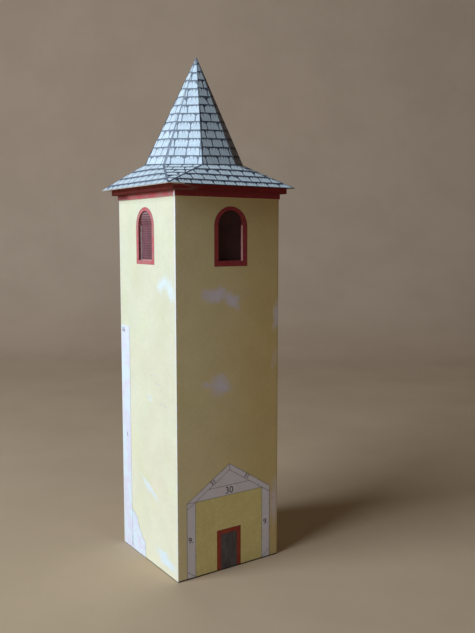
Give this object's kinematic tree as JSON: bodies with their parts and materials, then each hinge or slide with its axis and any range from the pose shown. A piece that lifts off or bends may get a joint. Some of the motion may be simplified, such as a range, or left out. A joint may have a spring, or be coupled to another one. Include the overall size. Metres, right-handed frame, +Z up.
{
  "type": "card model of a church tower",
  "caption": "Hollow square tower model of thin printed card, with arched louvre windows, a folded cornice and an eight-sided spire on a flared skirt.",
  "frame": {"origin": "centre of the base, on the ground that the tower stands on", "axes": "+Z up to the spire's tip; the front wall, with the printed door, faces -Y; the left wall faces -X"},
  "size_m": [0.0664, 0.0664, 0.2367],
  "materials": {
    "wall_card": "matt, printed pale yellow",
    "reveal_card": "matt, printed dark red and white",
    "louvre_card": "matt, printed dark grey slats",
    "tab_card": "matt, plain white",
    "cornice_card": "matt, printed red",
    "roof_card": "matt, printed pale blue tiles with slate blue joints"
  },
  "bodies": {
    "root": {"front_wall": "wall_card", "right_wall": "wall_card", "back_wall": "wall_card", "left_wall": "wall_card", "front_window_reveal": "reveal_card", "right_window_reveal": "reveal_card", "back_window_reveal": "reveal_card", "left_window_reveal": "reveal_card", "front_louvre_panel": "louvre_card", "right_louvre_panel": "louvre_card", "back_louvre_panel": "louvre_card", "left_louvre_panel": "louvre_card", "front_base_tab": "tab_card", "right_base_tab": "tab_card", "back_base_tab": "tab_card", "left_base_tab": "tab_card", "seam_tab": "tab_card", "front_cornice": "cornice_card", "right_cornice": "cornice_card", "back_cornice": "cornice_card", "left_cornice": "cornice_card", "front_skirt": "roof_card", "right_skirt": "roof_card", "back_skirt": "roof_card", "left_skirt": "roof_card", "front_right_broach": "roof_card", "back_right_broach": "roof_card", "back_left_broach": "roof_card", "front_left_broach": "roof_card", "front_spire_facet": "roof_card", "right_spire_facet": "roof_card", "back_spire_facet": "roof_card", "left_spire_facet": "roof_card", "front_right_spire_facet": "roof_card", "back_right_spire_facet": "roof_card", "back_left_spire_facet": "roof_card", "front_left_spire_facet": "roof_card"}
  },
  "joints": []
}
